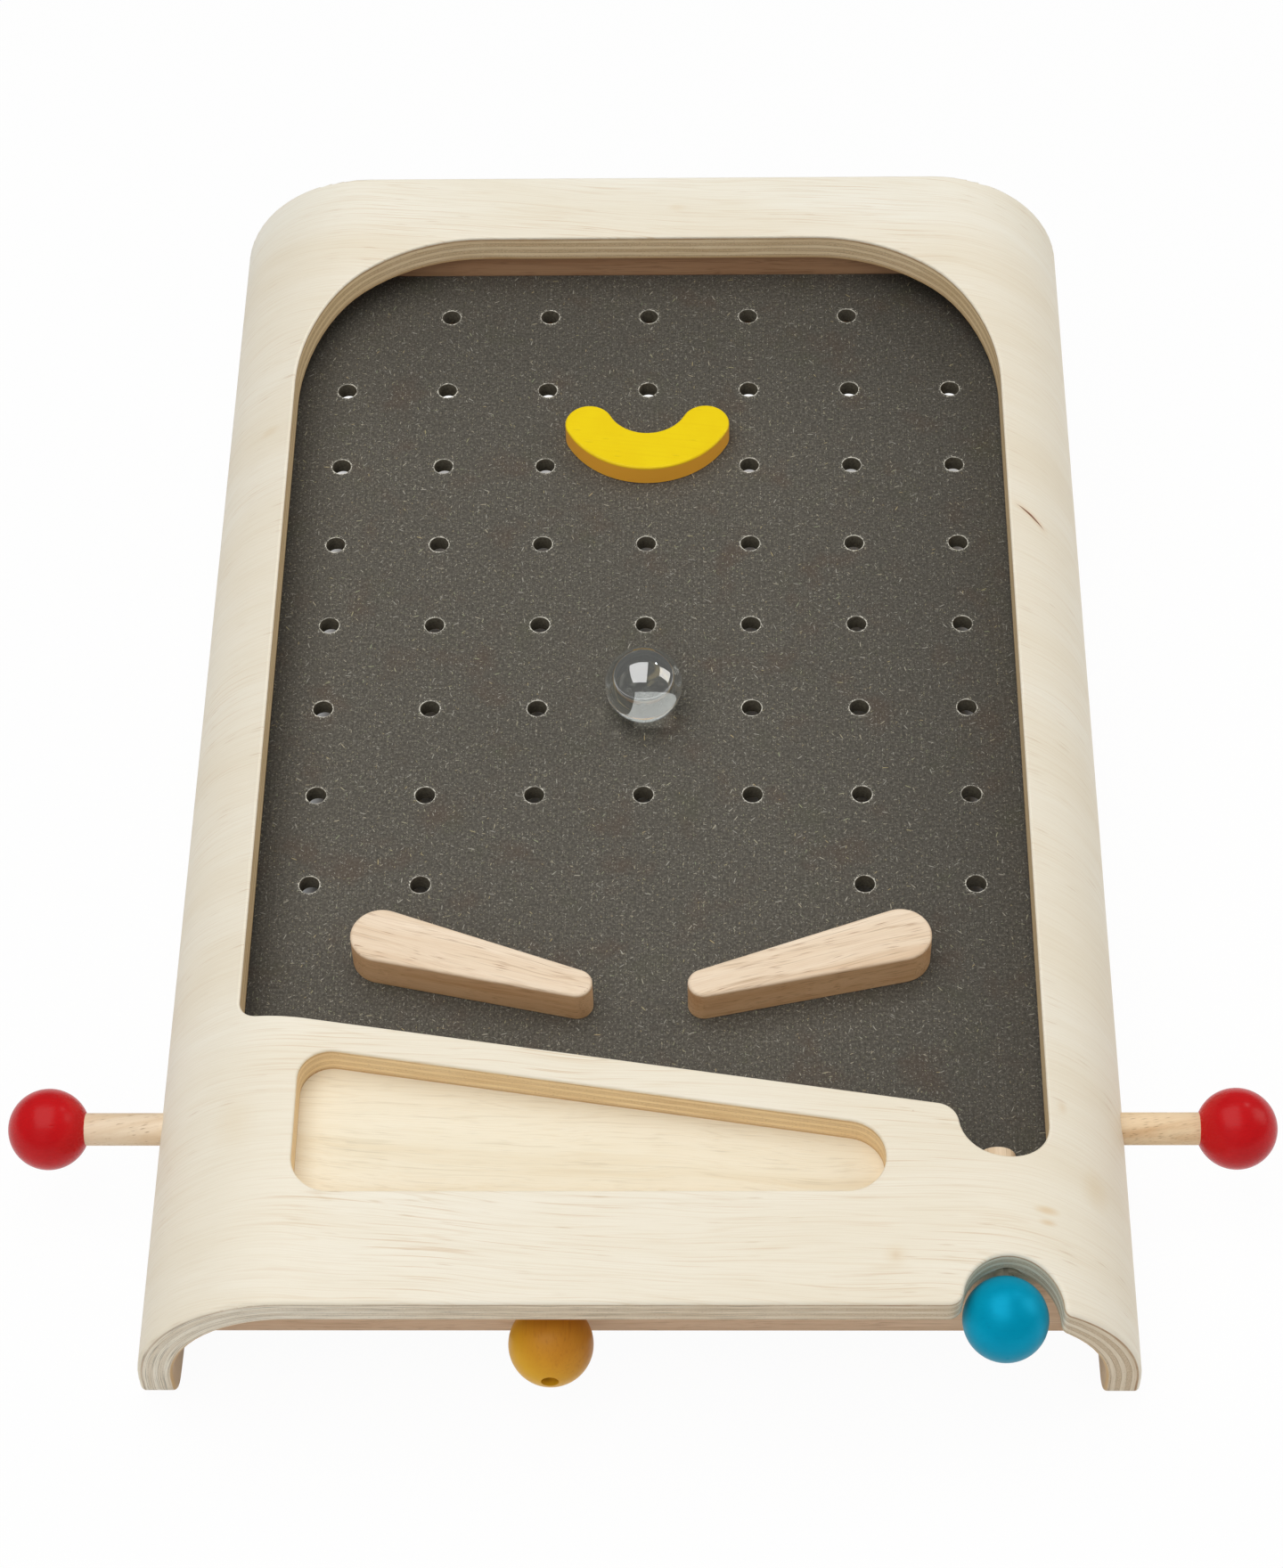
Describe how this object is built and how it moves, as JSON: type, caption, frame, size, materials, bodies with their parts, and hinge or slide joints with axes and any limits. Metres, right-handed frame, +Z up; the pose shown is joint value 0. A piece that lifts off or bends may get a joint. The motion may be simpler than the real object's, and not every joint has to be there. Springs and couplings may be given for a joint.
{
  "type": "tabletop pinball game",
  "caption": "Bent plywood tabletop pinball game: sloping pegboard playfield, push-rod flippers, spring plunger, pull knob, marble, crescent obstacle and a tray.",
  "frame": {"origin": "on the table under the middle of the whole game's bounding box", "axes": "+X to the player's right, +Y away from the player, +Z up"},
  "size_m": [0.389, 0.4734, 0.1224],
  "materials": {
    "ply_veneer": "pale bent plywood, clear satin finish, layered cut edges",
    "dark_composite": "dark grey-brown fibre composite with light flecks, matt",
    "rail_hardwood": "pinkish hardwood, sanded",
    "tray_panel": "pale thin plywood, sanded",
    "dowel_wood": "pale hardwood dowel, sanded",
    "flipper_wood": "pale hardwood with brown streaks, sanded",
    "crank_wood": "plywood, unfinished",
    "collar_wood": "hardwood, unfinished",
    "guide_wood": "hardwood, unfinished",
    "red_paint": "red satin paint on a wooden ball",
    "blue_paint": "blue satin paint on a wooden ball",
    "yellow_knob_paint": "yellow satin paint on a wooden ball",
    "yellow_paint": "yellow satin paint on wood",
    "clear_glass": "clear glass, polished",
    "spring_steel": "bright spring wire",
    "pin_steel": "plain steel pin",
    "screw_steel": "zinc-plated wood screw"
  },
  "bodies": {
    "cabinet": {"shell": "ply_veneer", "playfield_board": "dark_composite", "front_rail": "rail_hardwood", "rear_rail": "rail_hardwood", "tray_floor": "tray_panel", "board_screws": "screw_steel", "guide_screws": "screw_steel", "left_rod_guide": "guide_wood", "right_rod_guide": "guide_wood", "left_return_spring": "spring_steel", "right_return_spring": "spring_steel", "plunger_spring": "spring_steel"},
    "left_push": {"left_push_rod": "dowel_wood", "left_push_knob": "red_paint", "left_drive_pin": "pin_steel", "left_spring_collar": "collar_wood", "left_stop_collar": "collar_wood"},
    "right_push": {"right_push_rod": "dowel_wood", "right_push_knob": "red_paint", "right_drive_pin": "pin_steel", "right_spring_collar": "collar_wood", "right_stop_collar": "collar_wood"},
    "left_flipper_arm": {"left_flipper": "flipper_wood", "left_flipper_shaft": "dowel_wood", "left_crank": "crank_wood"},
    "right_flipper_arm": {"right_flipper": "flipper_wood", "right_flipper_shaft": "dowel_wood", "right_crank": "crank_wood"},
    "plunger": {"plunger_rod": "dowel_wood", "plunger_head": "dowel_wood", "plunger_knob": "blue_paint"},
    "pull": {"pull_rod": "dowel_wood", "pull_knob": "yellow_knob_paint", "pull_rod_pin": "pin_steel"},
    "obstacle_pin": {"obstacle_peg": "dowel_wood"},
    "crescent": {"obstacle": "yellow_paint"},
    "ball": {"marble": "clear_glass"}
  },
  "joints": [
    {"name": "left_push_slide", "type": "slide", "parent": "cabinet", "child": "left_push", "axis": [1, 0, 0], "range_m": [0, 0.02], "stiffness_N_per_m": 200, "springref_m": -0.01, "deforming": ["left_return_spring"]},
    {"name": "right_push_slide", "type": "slide", "parent": "cabinet", "child": "right_push", "axis": [-1, 0, 0], "range_m": [0, 0.02], "stiffness_N_per_m": 200, "springref_m": -0.01, "deforming": ["right_return_spring"]},
    {"name": "left_flipper_hinge", "type": "hinge", "parent": "cabinet", "child": "left_flipper_arm", "pos_m": [-0.08, -0.09561, 0.05791], "axis": [0, -0.1392, 0.9903], "range_deg": [0, 23.2]},
    {"name": "right_flipper_hinge", "type": "hinge", "parent": "cabinet", "child": "right_flipper_arm", "pos_m": [0.08, -0.09561, 0.05791], "axis": [0, 0.1392, -0.9903], "range_deg": [0, 23.2]},
    {"name": "plunger_slide", "type": "slide", "parent": "cabinet", "child": "plunger", "axis": [0, -0.9903, -0.1392], "range_m": [0, 0.018], "stiffness_N_per_m": 250, "springref_m": -0.008, "deforming": ["plunger_spring"]},
    {"name": "pull_slide", "type": "slide", "parent": "cabinet", "child": "pull", "axis": [0, -0.9903, -0.1392], "range_m": [0, 0.018]},
    {"name": "peg_lift", "type": "slide", "parent": "cabinet", "child": "obstacle_pin", "axis": [0, -0.1392, 0.9903], "range_m": [0, 0.015]},
    {"name": "obstacle_swivel", "type": "hinge", "parent": "obstacle_pin", "child": "crescent", "pos_m": [0, 0.10521, 0.08614], "axis": [0, -0.1392, 0.9903], "continuous": true},
    {"name": "marble_lift", "type": "slide", "parent": "cabinet", "child": "ball", "axis": [0, -0.1392, 0.9903], "range_m": [0, 0.03]}
  ],
  "couplings": [
    {"joint": "left_flipper_hinge", "follows": "left_push_slide", "rad_per_m": 19.856},
    {"joint": "right_flipper_hinge", "follows": "right_push_slide", "rad_per_m": 19.856}
  ]
}
